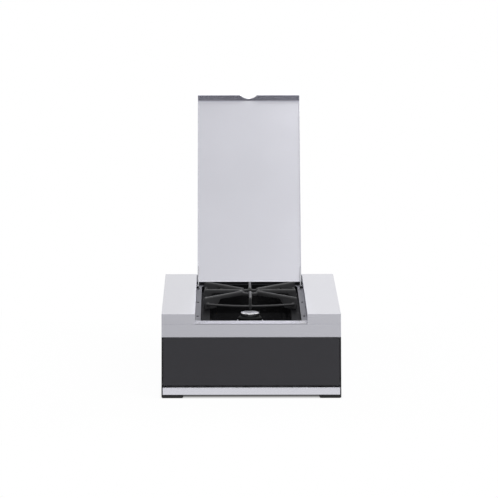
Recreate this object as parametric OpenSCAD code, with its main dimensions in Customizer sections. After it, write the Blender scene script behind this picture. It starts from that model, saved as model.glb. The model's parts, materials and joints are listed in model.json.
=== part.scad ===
// Built-in single gas burner with a flush lid that swings up and back, a cast iron
// trivet over one small burner, and a drop-down flap in front of the control knob.
// Sizes are read from the deck: the body frame has its zero on the front edge of the
// deck, y runs back and z up, and the sloping front has a frame of its own.

/* [Body] */
// Width over the side panels
body_w = 380; // [350:1:440]
// Deck surface down to the underside of the base pan
body_h = 165.5; // [158:0.5:200]
// How far the front leans back, in degrees
front_lean = 15; // [8:1:20]
// Sheet thickness of the outer skins
sheet = 1.2; // [0.9:0.1:1.6]
// Height of each foot
foot_h = 7.5; // [5:0.5:14]
// Width and depth of each foot
foot_w = 46; // [30:1:52]
// Strip of deck behind the recess
rear_strip = 10.5; // [8:0.5:30]

/* [Recess] */
// Width of the recess that the lid closes
recess_w = 237.6; // [230:0.2:260]
// Drop from the deck to the ledge that runs round the recess
recess_drop = 20.1; // [18:0.1:26]
// Width of the ledge at each side
side_ledge = 11.3; // [9:0.1:14]
// Depth of the ledge at the front
front_ledge = 32; // [20:1:45]
// Depth of the ledge at the back
back_ledge = 11; // [6:0.5:16]
// Chamfer of the rear corners of the opening, measured along the sides
corner_chamfer = 34; // [20:1:50]
// Diameter of the screws in the ledge
ledge_screw_d = 5; // [4:0.5:7]

/* [Lid] */
// Length of the lid from its front fold to its rear edge
lid_l = 456.5; // [430:0.5:480]
// Gap between the lid and each side of the recess
lid_gap = 1.5; // [1:0.1:3]
// Length of the front flange, along the sloping front
lid_flange = 20.3; // [16:0.1:20.4]
// Depth of the returns along the sides of the lid
lid_return = 8; // [5:0.5:12]
// Radius of the rounded finger notch in the flange
notch_r = 21; // [18:0.5:23]
// Distance from the flange's free edge out to the centre of the notch
notch_out = 8; // [7:0.5:10]
// Distance from the rear edge back to the pivot
pivot_back = 16.5; // [16:0.5:26]
// Distance from the deck down to the pivot
pivot_drop = 20; // [16:0.5:24]
// Radius of the two hinge pins
hinge_pin_r = 3; // [2:0.25:4]
// Angle between the closed lid and the open one
lid_open = 122; // [110:1:128]

/* [Control flap] */
// Height of the steel apron above the flap, along the front
apron_h = 49.2; // [44:0.2:54]
// Shadow gap round the flap
flap_gap = 2; // [1.5:0.1:3]
// Thickness of the dark front plate of the flap
flap_t = 2.5; // [2:0.1:4]
// Depth of the frame behind the front plate
frame_t = 9; // [7:0.5:11]
// Radius of the flap's two hinge pins
flap_pin_r = 2.5; // [2:0.25:3]
// Depth of the control panel behind the front
panel_depth = 37; // [34:0.5:50]
// Height of the upright steel rail below the flap
rail_h = 15.4; // [12:0.2:20]
// Height of the rail's lower edge above the underside of the body
rail_up = 1.1; // [0.5:0.1:4]
// Shadow gap between the flap and the rail
rail_gap = 2.6; // [2:0.1:5]
// How far the rail's lower edge stands out from the front
rail_proud = 5.4; // [4:0.1:10]
// How far each end of the rail stops short of the body
rail_inset = 2.8; // [2.4:0.1:8]
// Width of the black edging on each side, beside the flap
trim_w = 2.2; // [1.6:0.1:3]

/* [Trivet] */
// Width of the trivet over its arms
trivet_w = 203; // [190:1:206]
// Depth of the trivet over its arms
trivet_d = 216; // [196:1:226]
// Drop from the deck to the top of the trivet
trivet_drop = 3; // [2.5:0.1:5]
// Height of the trivet from its feet to its top
trivet_h = 28; // [24:0.5:34]
// Thickness of an arm
arm_t = 6; // [5:0.5:8]
// Depth of an arm near the middle
arm_h = 10; // [8:0.5:13]
// Middle radius of the ring that joins the arms
hub_r = 24; // [21:0.5:28]
// Distance from the front edge of the deck to the middle of the burner
burner_y = 333.5; // [325:0.5:340]

/* [Burner] */
// Drop from the deck to the top of the burner cap
cap_drop = 54.5; // [50:0.5:58]
// Radius of the burner cap
cap_r = 20.6; // [18:0.2:23]
// Radius of the flame spreader
spreader_r = 26.4; // [24.8:0.2:30]
// Height of the flame spreader
spreader_h = 11; // [9:0.5:14]
// Number of flame ports
ports = 24; // [16:1:32]
// Drop from the deck to the floor of the bowl
bowl_drop = 79; // [76:0.5:84]
// Radius of the bore of the mixing tube
tube_bore = 9; // [7:0.5:11]

/* [Gas tap] */
// Radius of the knob
knob_r = 19; // [15:0.5:24]
// Height of the knob
knob_h = 16; // [12:0.5:17]
// Travel of the knob when it is pushed in
knob_push = 3; // [2:0.5:4]
// Radius of the spindle
spindle_r = 3.5; // [3:0.25:4]
// Outer radius of the gas rail
pipe_r = 7; // [6:0.5:8]
// Distance from the left side of the body in to the gas rail
rail_side = 56; // [40:1:62]
// Outer radius of the male inlet thread
inlet_r = 10.4; // [8:0.1:13]
// Length of the inlet outside the rear panel
inlet_l = 20; // [14:1:30]

/* [Hidden] */
$fn = 64;
hull_fn = 32;
eps = 0.01;
// Running clearance round a pin or shaft
fit = 0.05;
// Gap that parts of different bodies keep where they rest
seat_gap = 0.3;

// Colours
steel = [0.83, 0.84, 0.86];
dark_steel = [0.45, 0.46, 0.48];
enamel = [0.06, 0.06, 0.07];
iron = [0.11, 0.11, 0.12];
charcoal = [0.22, 0.22, 0.235];
rubber = [0.05, 0.05, 0.05];
brass = [0.78, 0.62, 0.32];
alloy = [0.72, 0.73, 0.75];
ceramic = [0.93, 0.91, 0.86];

// Body
half_w = body_w / 2;
inner_w = half_w - sheet;
deck_z = body_h + foot_h;
bottom = -body_h;
flange_h = 14;

// Recess, opening and the ledge between them
half_recess = recess_w / 2;
half_opening = half_recess - side_ledge;
pivot_y = lid_l + pivot_back;
lean_back = lid_open - 90;
// The open lid leans on the rear edge of the recess: its outer face lies at the
// pivot drop from the pivot, and crosses the level of the deck this far behind it
lid_back_y = pivot_y + pivot_drop * (1 + sin(lean_back)) / cos(lean_back);
recess_d = lid_back_y + seat_gap;
deck_d = recess_d + rear_strip;
opening_back = recess_d - back_ledge;
ledge_top = -recess_drop;
ledge_under = ledge_top - sheet;
// Reach of the recess wall round the hinge pin
pin_boss_y = 16;
pin_boss_z = 14;
ledge_screw_x = half_recess - side_ledge * 0.42;
ledge_screw_front = 86;
ledge_screw_back = pivot_y - 40;
function ledge_screw_y(i) = ledge_screw_front + i * (ledge_screw_back - ledge_screw_front) / 2;

// Places on the sloping front: s runs down it from the deck, n stands out of it
function slope_y(s, n = 0) = -s * sin(front_lean) - n * cos(front_lean);
function slope_z(s, n = 0) = -s * cos(front_lean) + n * sin(front_lean);
function slope(s, n = 0) = [slope_y(s, n), slope_z(s, n)];
// y on the plane that lies n outside the sloping front, at the height z
function front_y(z, n = 0) = z * tan(front_lean) - n / cos(front_lean);

// Feet, each near a corner of the base pan, with its stud
foot_x = half_w - foot_w / 2;
foot_front_y = front_y(bottom) + foot_w / 2 + 1;
foot_rear_y = deck_d - foot_w / 2 - 2;
stud_r = 2.5;

// Bands of the front. The rail stands on the foot of the body and the apron hangs from
// the deck, and the flap fills what is left between them, down the slope
rail_low = bottom + rail_up;
rail_top = rail_low + rail_h;
flap_top = apron_h + flap_gap;
flap_bottom = -(rail_top + rail_gap) / cos(front_lean);
flap_h = flap_bottom - flap_top;
slope_end = body_h / cos(front_lean);
compartment_bottom = flap_bottom + 4;
trim_d = 2.5;

// The origin is under the middle of the bounding box, with the lid open
reach = sqrt(pow(pivot_y, 2) + pow(pivot_drop, 2));
lid_tip_y = pivot_y + reach * cos(180 - atan2(pivot_drop, pivot_y) - lid_open);
rail_face = front_y(rail_low) - rail_proud;
origin_y = (rail_face + lid_tip_y) / 2;

// Lid
lid_half = half_recess - lid_gap;
ear_t = 2;
ear_r = 8.5;
ear_l = 38;
ear_x = lid_half - sheet - ear_t;
hem_r = 1.6;

// Flap
flap_half = inner_w - flap_gap;
frame_half = flap_half - 3.6;
frame_top = flap_top + 3;
frame_bottom = flap_bottom - 2;
flap_axis_s = flap_bottom - 4.4;
flap_axis_n = -6.5;
lug_t = 6;
strike_w = 26;
strike_h = 10;
magnet_x = flap_half - 66.8;
magnet_t = 7;
shelf_t = sheet;
shelf_front = 4;
apron_return = 12;

// Trivet
trivet_top = -trivet_drop;
trivet_foot = trivet_top - trivet_h;
arm_x = trivet_w / 2 - arm_t / 2;
arm_y = trivet_d / 2 - arm_t / 2;
corner_reach = sqrt(arm_x * arm_x + arm_y * arm_y);
corner_angle = atan2(arm_y, arm_x);
leg_w = 32;
bar_r = 2.6;
bar_sag = 5;
bar_end_z = trivet_top - 13 - bar_r;
shelf_w = 19;

// Bowl
bowl_floor = -bowl_drop;
bowl_t = 1;
bowl_corner = 16;
shelf_z = trivet_foot;
tub_front = front_ledge + shelf_w;
tub_back = opening_back - corner_chamfer - 2;

// Burner
cap_top = -cap_drop;
cap_h = 8;
spreader_top = cap_top - cap_h;
spreader_bottom = spreader_top - spreader_h;
collar_r = 7;
collar_h = 2.6;
cup_h = 18;
cup_top = spreader_bottom;
cup_r = spreader_r + 3;
cup_bottom = cup_top - cup_h;
tube_r = tube_bore + 3;
tube_l = 134;
bell_r = tube_r + 5;
bell_l = 16;
lug_h = 5;
stand_w = 18;
stand_y = 4 - tube_r;
bowl_taper = 4;
igniter_r = 3.4;
sensor_r = 2.2;
igniter_reach = spreader_r + 12.6;
igniter_turn = 22;
igniter_x = igniter_reach * sin(igniter_turn);
igniter_y = burner_y + igniter_reach * cos(igniter_turn);

// Gas tap, on an axis square to the sloping front at the middle of the flap
tap_s = flap_top + flap_h / 2;
knob_gap = knob_push + 0.8;
bezel_h = 2;
bezel_r = knob_r + 3;
knob_base = panel_depth - bezel_h - knob_gap;
knob_top = knob_base - knob_h;
neck_r = spindle_r + 3.5;
valve_w = 32;
valve_from = panel_depth + sheet;
valve_l = 46;
valve_to = valve_from + valve_l;
plug_from = valve_from + 16;
plug_l = 22;
plug_r = 8;
plug_taper = 1.5;
plug_bore = 2.5;
port_l = 10;
union_l = 8;
inlet_d = plug_from + plug_l / 2;
spring_r = 6;
spring_wire = 0.7;
spring_turns = 5;
spring_l = 11;
collar_t = 1.5;

// Gas supply: the feed pipe leaves the tap along its axis and then runs level, and
// that sets the height of the mixing tube
tap_y = slope_y(tap_s, -inlet_d);
pipe_z = slope_z(tap_s, -inlet_d);
outlet_y = slope_y(tap_s, -valve_to - union_l);
outlet_z = slope_z(tap_s, -valve_to - union_l);
feed_r = 4;
feed_straight = 12;
tube_z = outlet_z - feed_straight * sin(front_lean);
jet_y = burner_y - tube_l - bell_l;
jet_back = 12;
pipe_bore = pipe_r - 1.5;
neck_out_r = inlet_r + 1.6;
nut_l = 5;
rail_x = half_w - rail_side;

// ------------------------------------------------------------------ frames

module deck_frame() {
    translate([0, -origin_y, deck_z]) children();
}

// Local y runs into the body square to the front, z up along it, from s down the slope
module slope_frame(s = 0) {
    deck_frame() rotate([-front_lean, 0, 0]) translate([0, 0, -s]) children();
}

// The lid is drawn closed and swung open about its pivot
module lid_frame() {
    deck_frame()
        translate([0, pivot_y, -pivot_drop])
            rotate([-lid_open, 0, 0])
                translate([0, -pivot_y, pivot_drop]) children();
}

module burner_frame() {
    deck_frame() translate([0, burner_y, 0]) children();
}

// Axis of the tap: local z runs into the body from the sloping front
module tap_frame(depth = 0) {
    slope_frame(tap_s) translate([0, depth, 0]) rotate([-90, 0, 0]) children();
}

module both_sides() {
    children();
    mirror([1, 0, 0]) children();
}

// A box from one corner to the opposite one
module span(low, high) {
    translate(low) cube(high - low);
}

// A flat outline in y and z, made thick along x from x = low to x = high
module side_sheet(low, high) {
    translate([low, 0, 0])
        rotate([90, 0, 90]) linear_extrude(high - low) children();
}

// A round bar between two points
module rod(from, to, r) {
    d = to - from;
    l = norm(d);
    translate(from)
        rotate([0, acos(d[2] / l), atan2(d[1], d[0])]) cylinder(r = r, h = l);
}

// ------------------------------------------------------------------- shell

module recess_outline() {
    translate([-half_recess, -60]) square([recess_w, recess_d + 60]);
}

// The sloping sheet at the front, folded back along its lower edge
module slope_sheet() {
    rotate([-front_lean, 0, 0]) {
        span([-half_w, 0, -apron_h], [half_w, sheet, 0]);
        span([-inner_w, sheet, -apron_h], [inner_w, apron_return, -apron_h + sheet]);
    }
}

// Folded deck: top with the recess, sloping front corners beside the lid, and inner flanges
module top_deck() {
    color(steel) deck_frame() {
        difference() {
            translate([0, 0, -sheet]) linear_extrude(sheet)
                polygon([[-half_w, front_y(-sheet)], [half_w, front_y(-sheet)],
                         [half_w, deck_d], [-half_w, deck_d]]);
            translate([0, 0, -2 * sheet]) linear_extrude(3 * sheet) recess_outline();
            // the top is mitred where it meets the slope
            rotate([-front_lean, 0, 0])
                span([-half_w - 1, -20, -20], [half_w + 1, 0, 20]);
        }
        difference() {
            slope_sheet();
            span([-half_recess, -30, ledge_under], [half_recess, 30, 10]);
            span([-half_w - 1, -30, -sheet], [half_w + 1, 30, 10]);
            span([-half_w - 1, -60, -2 * apron_h], [half_w + 1, 60, ledge_under]);
        }
        both_sides()
            span([inner_w - sheet, 16, -sheet - flange_h],
                 [inner_w, deck_d - sheet, -sheet]);
        span([-inner_w + sheet, deck_d - 2 * sheet, -sheet - flange_h],
             [inner_w - sheet, deck_d - sheet, -sheet]);
    }
}

// Apron from the underside of the ledge down
module front_apron() {
    color(steel) deck_frame() difference() {
        slope_sheet();
        span([-half_w - 1, -60, ledge_under], [half_w + 1, 60, 10]);
    }
}

module opening_outline(shrink = 0) {
    w = half_opening - shrink;
    front = front_ledge + shrink;
    back = opening_back - shrink;
    nip = w - 10;
    polygon([[-w, front], [w, front], [w, back - corner_chamfer],
             [nip, back], [-nip, back], [-w, back - corner_chamfer]]);
}

// Room at each side for a hinge arm of the lid, beside the wall of the recess
module ear_slot() {
    span([ear_x - 0.8, pivot_y - 30, ledge_under - 3],
         [half_recess + eps, pivot_y + ear_r + 8, ledge_top + 1]);
}

// Steel ledge let into the recess, with the opening for the burner
module well_frame() {
    color(steel) deck_frame() difference() {
        span([-half_recess, -12, ledge_under], [half_recess, recess_d, ledge_top]);
        translate([0, 0, ledge_under - 1]) linear_extrude(sheet + 2) opening_outline();
        both_sides() {
            ear_slot();
            for (i = [0:2])
                translate([ledge_screw_x, ledge_screw_y(i), ledge_under - 1])
                    cylinder(d = ledge_screw_d * 0.7, h = sheet + 2);
        }
        // the ledge runs out flush with the front
        rotate([-front_lean, 0, 0])
            span([-half_w, -60, -60], [half_w, 0, 30]);
    }
}

// Side wall of the recess, which stops behind the apron and reaches lower round the
// hinge pin
module well_wall(side) {
    color(steel) deck_frame() mirror([side < 0 ? 1 : 0, 0, 0]) difference() {
        union() {
            span([half_recess, -12, ledge_under],
                 [half_recess + sheet, recess_d + sheet, -sheet]);
            span([half_recess, pivot_y - pin_boss_y, -pivot_drop - pin_boss_z],
                 [half_recess + sheet, pivot_y + pin_boss_y, ledge_under + eps]);
        }
        translate([half_recess - 1, pivot_y, -pivot_drop])
            rotate([0, 90, 0]) cylinder(r = hinge_pin_r, h = sheet + 2);
        rotate([-front_lean, 0, 0])
            span([half_recess - eps, -60, -60], [half_w, sheet, 30]);
    }
}

module well_rear() {
    color(steel) deck_frame()
        span([-half_recess, recess_d, ledge_under],
             [half_recess, recess_d + sheet, -sheet]);
}

module ledge_screw(i, side) {
    color(dark_steel) deck_frame()
        translate([side * ledge_screw_x, ledge_screw_y(i), ledge_top]) {
            cylinder(d = ledge_screw_d, h = 1.2);
            translate([0, 0, -sheet - 6])
                cylinder(d = ledge_screw_d * 0.7, h = sheet + 6 + eps);
        }
}

// Rounded block that tapers down: half widths at the top and at the bottom
module tub(w, front, back, top, floor, taper, r) {
    hull() {
        for (x = [-1, 1], y = [front + r, back - r])
            translate([x * (w - r), y, top - eps]) cylinder(r = r, h = eps, $fn = hull_fn);
        for (x = [-1, 1], y = [front + r + taper, back - r - taper])
            translate([x * (w - r - taper), y, floor]) cylinder(r = r, h = eps, $fn = hull_fn);
    }
}

// Black bowl under the ledge: a collar, a shelf for the trivet and a deep tub
module drip_bowl() {
    tub_w = half_opening - shelf_w;
    color(enamel) deck_frame() difference() {
        union() {
            translate([0, 0, ledge_under - bowl_t]) linear_extrude(bowl_t)
                opening_outline(-side_ledge + 1);
            translate([0, 0, shelf_z - bowl_t])
                linear_extrude(ledge_under - shelf_z + bowl_t) opening_outline(-bowl_t);
            tub(tub_w + bowl_t, tub_front - bowl_t, tub_back + bowl_t,
                shelf_z, bowl_floor - bowl_t, bowl_taper, bowl_corner + bowl_t);
        }
        translate([0, 0, shelf_z])
            linear_extrude(ledge_under - shelf_z + 1) opening_outline();
        tub(tub_w, tub_front, tub_back, shelf_z + eps * 2, bowl_floor, bowl_taper, bowl_corner);
        // holes for the burner, the spark electrode and the flame sensor
        for (hole = [[0, burner_y, cup_r + 0.6], [igniter_x, igniter_y, igniter_r + 1.2],
                     [-igniter_x, igniter_y, sensor_r + 1.2]])
            translate([hole[0], hole[1], bowl_floor - 10]) cylinder(r = hole[2], h = 30);
        both_sides() {
            ear_slot();
            for (i = [0:2]) translate([ledge_screw_x, ledge_screw_y(i), ledge_under - 5])
                cylinder(d = ledge_screw_d * 0.7, h = 6);
        }
    }
}

// Side panel: the front edge follows the slope, behind the apron and flush below it
module side_outline() {
    polygon([slope(apron_h), slope(apron_h, -sheet),
             [front_y(-sheet, -sheet), -sheet],
             [deck_d, -sheet], [deck_d, bottom], [front_y(bottom), bottom]]);
}

// Strip along the front edge of a side panel, seen from the side
module trim_outline(grow = 0) {
    polygon([slope(apron_h, grow), slope(apron_h, -trim_d),
             [front_y(bottom - grow, -trim_d), bottom - grow],
             [front_y(bottom - grow, grow), bottom - grow]]);
}

// Room for the edging in the sheets that meet it
module trim_cut() {
    side_sheet(half_w - trim_w, half_w + 1) trim_outline(1);
}

// Black rubber edging on the front edge of a side panel
module edge_trim(side) {
    color(rubber) deck_frame() mirror([side < 0 ? 1 : 0, 0, 0])
        side_sheet(half_w - trim_w, half_w) trim_outline();
}

module side_panel(side) {
    slots = 6;
    slot_pitch = 14;
    slot_h = 4;
    slot_l = 100;
    slot_back = deck_d - 70;
    first_slot = bottom + 34;
    color(steel) deck_frame() mirror([side < 0 ? 1 : 0, 0, 0]) difference() {
        side_sheet(inner_w, half_w) side_outline();
        // louvres low down at the back of the panel
        for (i = [0:slots - 1])
            span([inner_w - 1, slot_back - slot_l, first_slot + i * slot_pitch],
                 [half_w + 1, slot_back, first_slot + i * slot_pitch + slot_h]);
        trim_cut();
        translate([0, slope_y(flap_axis_s, flap_axis_n), slope_z(flap_axis_s, flap_axis_n)])
            rotate([0, 90, 0]) cylinder(r = flap_pin_r, h = half_w + 1);
    }
}

module rear_panel() {
    color(steel) deck_frame() difference() {
        span([-inner_w, deck_d - sheet, bottom], [inner_w, deck_d, -sheet]);
        // two banks of slots let burnt gas and heat out
        for (side = [-1, 1], i = [0:4])
            translate([side * 70, 0, -44 - i * 12])
                span([-48, deck_d - sheet - 1, -2], [48, deck_d + 1, 2]);
        translate([-rail_x, deck_d - sheet - 1, pipe_z])
            rotate([-90, 0, 0]) cylinder(r = neck_out_r + fit, h = sheet + 2);
    }
}

// Tray that closes the body below, with its edges turned up inside the panels
module base_pan() {
    color(dark_steel) deck_frame() {
        difference() {
            span([-inner_w, front_y(bottom), bottom], [inner_w, deck_d - sheet, bottom + sheet]);
            rotate([-front_lean, 0, 0])
                span([-half_w, -60, -slope_end - 30], [half_w, 0, 0]);
            for (row = [0:2], i = [-4:4])
                translate([i * 30, 200 + row * 90, bottom + sheet / 2])
                    cube([6, 60, 3 * sheet], center = true);
            for (x = [-1, 1], y = [foot_front_y, foot_rear_y])
                translate([x * foot_x, y, bottom - 1]) cylinder(r = stud_r, h = sheet + 2);
            both_sides() trim_cut();
        }
        both_sides()
            span([inner_w - sheet, 20, bottom + sheet],
                 [inner_w, deck_d - sheet, bottom + sheet + flange_h]);
        span([-inner_w + sheet, deck_d - 2 * sheet, bottom + sheet],
             [inner_w - sheet, deck_d - sheet, bottom + sheet + flange_h]);
        // front edge, turned up behind the rail along the slope
        intersection() {
            rotate([-front_lean, 0, 0])
                span([trim_w - half_w, 0, -slope_end - 2], [half_w - trim_w, sheet, 0]);
            span([-half_w, -100, bottom + sheet - eps], [half_w, 100, rail_top - seat_gap]);
        }
    }
}

// Square rubber foot with a pressed-in stud
module foot(x, y) {
    chamfer = 1.5;
    color(rubber) deck_frame() translate([x, y, bottom - foot_h]) {
        translate([-foot_w / 2, -foot_w / 2, chamfer]) cube([foot_w, foot_w, foot_h - chamfer]);
        translate([-foot_w / 2 + chamfer, -foot_w / 2 + chamfer, 0])
            cube([foot_w - 2 * chamfer, foot_w - 2 * chamfer, chamfer + eps]);
        cylinder(r = stud_r, h = foot_h + sheet + 4);
        translate([0, 0, foot_h + sheet]) cylinder(r = stud_r + 3, h = 4, $fn = 6);
    }
}

// Steel rail across the foot of the front: an upright face with rounded edges, deeper at
// the top because the front leans back behind it
module front_rail() {
    round_r = 1;
    ends = half_w - rail_inset;
    color(steel) deck_frame() side_sheet(-ends, ends) hull() {
        for (z = [rail_low + round_r, rail_top - round_r])
            translate([rail_face + round_r, z]) circle(round_r);
        polygon([[front_y(rail_low), rail_low], [front_y(rail_top), rail_top],
                 [rail_face + round_r, rail_top], [rail_face + round_r, rail_low]]);
    }
}

// ------------------------------------------------------------ control bay

// Panel behind the flap, with the shelves that close its bay above and below
module control_panel() {
    color(dark_steel) slope_frame() difference() {
        union() {
            span([-inner_w, panel_depth, -compartment_bottom - shelf_t],
                 [inner_w, panel_depth + sheet, -apron_h]);
            span([-inner_w, shelf_front, -apron_h - shelf_t], [inner_w, panel_depth, -apron_h]);
            span([-inner_w, trim_d, -compartment_bottom - shelf_t],
                 [inner_w, panel_depth, -compartment_bottom]);
        }
        translate([0, 0, -tap_s]) rotate([-90, 0, 0])
            cylinder(r = neck_r + 0.3, h = panel_depth + 10);
    }
}

module knob_bezel() {
    color(alloy) tap_frame(panel_depth - bezel_h) difference() {
        union() {
            cylinder(r = bezel_r, h = bezel_h);
            cylinder(r1 = bezel_r - 1, r2 = bezel_r, h = 1);
        }
        translate([0, 0, -1]) cylinder(r = neck_r + 0.3, h = bezel_h + 2);
    }
}

// ---------------------------------------------------------------- the lid

// Lid sheet: flat top, front flange along the slope with its finger notch, side
// returns and a rolled rear edge
module lid_panel() {
    color(steel) lid_frame() {
        difference() {
            span([-lid_half, -1, -sheet], [lid_half, lid_l, 0]);
            rotate([-front_lean, 0, 0])
                span([-half_w, -20, -20], [half_w, 0, 20]);
        }
        difference() {
            rotate([-front_lean, 0, 0])
                span([-lid_half, 0, -lid_flange], [lid_half, sheet, 0]);
            span([-half_w, -10, -sheet + eps], [half_w, 10, 5]);
            rotate([-front_lean, 0, 0]) translate([0, -5, -lid_flange - notch_out])
                rotate([-90, 0, 0]) cylinder(r = notch_r, h = 12);
        }
        both_sides()
            span([lid_half - sheet, 6, -lid_return], [lid_half, lid_l, -sheet + eps]);
        translate([-lid_half, lid_l - hem_r, -sheet - hem_r + eps])
            rotate([0, 90, 0]) cylinder(r = hem_r, h = 2 * lid_half);
    }
}

// Tapered hinge arm inside the side return, with the bore for its pin
module lid_ear(side) {
    tip = lid_l - ear_l;
    heel = lid_l - 2 * hem_r - seat_gap;
    color(dark_steel) lid_frame() mirror([side < 0 ? 1 : 0, 0, 0]) difference() {
        union() {
            side_sheet(ear_x, ear_x + ear_t)
                polygon([[tip, -sheet], [tip, -sheet - 4],
                         [pivot_y - ear_r * 0.7, -pivot_drop - ear_r * 0.7],
                         [pivot_y + ear_r * 0.7, -pivot_drop + ear_r * 0.7],
                         [heel, -sheet - 2 * hem_r - seat_gap], [heel, -sheet]]);
            translate([ear_x, pivot_y, -pivot_drop]) rotate([0, 90, 0])
                cylinder(r = ear_r, h = ear_t);
        }
        translate([ear_x - 1, pivot_y, -pivot_drop]) rotate([0, 90, 0])
            cylinder(r = hinge_pin_r + fit, h = ear_t + 2);
    }
}

// Shoulder pin, headed outside the wall of the recess
module hinge_pin(side) {
    color(dark_steel) deck_frame() mirror([side < 0 ? 1 : 0, 0, 0])
        translate([0, pivot_y, -pivot_drop]) rotate([0, 90, 0]) {
            translate([0, 0, ear_x - 0.4])
                cylinder(r = hinge_pin_r, h = half_recess + sheet - ear_x + 1);
            translate([0, 0, half_recess + sheet]) cylinder(r = hinge_pin_r + 2.5, h = 2.5);
        }
}

// --------------------------------------------------------------- the flap

module flap_plate() {
    color(charcoal) slope_frame()
        span([-flap_half, 0, -flap_bottom], [flap_half, flap_t, -flap_top]);
}

// Tray behind the front plate, with a bored lug at each end for the hinge pins
module flap_frame() {
    deep = flap_t + frame_t;
    lip = 12;
    color(dark_steel) slope_frame() difference() {
        union() {
            difference() {
                span([-frame_half, flap_t, -frame_bottom], [frame_half, deep, -frame_top]);
                span([-frame_half + sheet, flap_t + sheet, -frame_bottom + sheet],
                     [frame_half - sheet, deep + 1, -frame_top - sheet]);
            }
            both_sides()
                span([frame_half - lug_t, flap_t, -frame_bottom],
                     [frame_half, deep - 1, -frame_bottom + lip]);
        }
        both_sides()
            translate([frame_half - lug_t - 1, -flap_axis_n, -flap_axis_s]) rotate([0, 90, 0])
                cylinder(r = flap_pin_r + fit, h = lug_t + 2);
    }
}

// Plate that the magnet holds, seated on the edge of the frame
module flap_strike(side) {
    deep = flap_t + frame_t;
    color(dark_steel) slope_frame()
        span([side * magnet_x - strike_w / 2, deep, -frame_top - strike_h],
             [side * magnet_x + strike_w / 2, deep + sheet, -frame_top]);
}

module magnet(side) {
    near = flap_t + frame_t + sheet + seat_gap;
    color(rubber) slope_frame()
        span([side * magnet_x - strike_w / 2 + 2, near, -frame_top - strike_h + 1],
             [side * magnet_x + strike_w / 2 - 2, near + magnet_t, -apron_h - shelf_t]);
}

module flap_pin(side) {
    color(dark_steel) slope_frame() mirror([side < 0 ? 1 : 0, 0, 0])
        translate([0, -flap_axis_n, -flap_axis_s]) rotate([0, 90, 0])
            translate([0, 0, frame_half - lug_t]) cylinder(r = flap_pin_r, h = half_w - frame_half + lug_t);
}

// ------------------------------------------------------------- the trivet

// One arm, along local x from the hub: a rounded top over a plate that deepens to a leg
module trivet_arm(l, leg) {
    crest = arm_t / 2;
    sweep = 14;
    translate([hub_r - 2, 0, trivet_top - crest]) rotate([0, 90, 0])
        cylinder(r = crest, h = l - hub_r + 2);
    translate([l, 0, trivet_top - crest]) sphere(r = crest);
    rotate([90, 0, 0]) translate([0, 0, -crest]) linear_extrude(arm_t) difference() {
        polygon([[hub_r - 2, trivet_top - crest], [l, trivet_top - crest],
                 [l, trivet_foot], [l - leg, trivet_foot],
                 [l - leg - sweep, trivet_top - arm_h],
                 [hub_r - 2, trivet_top - arm_h]]);
        translate([l - leg - sweep, trivet_foot]) circle(r = sweep * 0.9);
    }
    translate([l, 0, trivet_foot]) cylinder(r = crest, h = trivet_h - crest);
}

// Bar between two legs, bowed down in the middle
module sagging_bar(span_l) {
    half = span_l / 2;
    r = (half * half + bar_sag * bar_sag) / (2 * bar_sag);
    sweep = 2 * asin(half / r);
    translate([0, 0, bar_end_z - bar_sag + r]) rotate([90, 0, 0])
        rotate([0, 0, -90 - sweep / 2])
            rotate_extrude(angle = sweep, $fn = 360) translate([r, 0]) circle(r = bar_r, $fn = 32);
}

module trivet() {
    color(iron) burner_frame() {
        for (a = [corner_angle, 180 - corner_angle, 180 + corner_angle, -corner_angle])
            rotate([0, 0, a]) trivet_arm(corner_reach, leg_w);
        for (a = [0, 180]) rotate([0, 0, a]) trivet_arm(arm_x, 2);
        for (a = [90, 270]) rotate([0, 0, a]) trivet_arm(arm_y, 2);
        // the ring hangs a little below the arms and stays clear of the pan above
        translate([0, 0, trivet_top - arm_h - 1]) difference() {
            cylinder(r = hub_r + arm_t / 2, h = arm_h - 3);
            translate([0, 0, -1]) cylinder(r = hub_r - arm_t / 2, h = arm_h);
        }
        for (y = [-arm_y, arm_y]) translate([0, y, 0]) sagging_bar(2 * arm_x);
        for (x = [-arm_x, arm_x]) translate([x, 0, 0]) rotate([0, 0, 90]) sagging_bar(2 * arm_y);
    }
}

// ------------------------------------------------------------- the burner

// Domed cap with a scalloped skirt
module burner_cap() {
    scallops = 8;
    color(alloy) burner_frame() difference() {
        rotate_extrude()
            polygon([[0, spreader_top + collar_h + seat_gap],
                     [collar_r + seat_gap, spreader_top + collar_h + seat_gap],
                     [collar_r + seat_gap, spreader_top],
                     [cap_r - 4, spreader_top], [cap_r, spreader_top + 1.5],
                     [cap_r, cap_top - 1.6], [cap_r - 1.4, cap_top - 0.5], [0, cap_top]]);
        for (i = [0:scallops - 1]) rotate([0, 0, 22.5 + i * 360 / scallops])
            translate([cap_r - 5, 0, spreader_top - 1]) rotate([0, 90, 0])
                cylinder(r = 5.2, h = 10);
    }
}

// Flame ring: a conical top, slotted all round, with a hollow below for the gas
module flame_spreader() {
    wall = 5;
    slot_h = spreader_h - 5;
    color(iron) burner_frame() difference() {
        rotate_extrude()
            polygon([[collar_r - 1.5, spreader_bottom], [spreader_r, spreader_bottom],
                     [spreader_r, spreader_top - 3.5], [spreader_r - 4, spreader_top],
                     [collar_r, spreader_top], [collar_r, spreader_top + collar_h],
                     [collar_r - 1.5, spreader_top + collar_h]]);
        translate([0, 0, spreader_bottom - 1])
            cylinder(r = spreader_r - wall, h = spreader_h - 3 + 1);
        for (i = [0:ports - 1]) rotate([0, 0, i * 360 / ports])
            span([spreader_r - wall - 2, -0.9, spreader_bottom - 1],
                 [spreader_r + 1, 0.9, spreader_bottom + slot_h]);
    }
}

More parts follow.
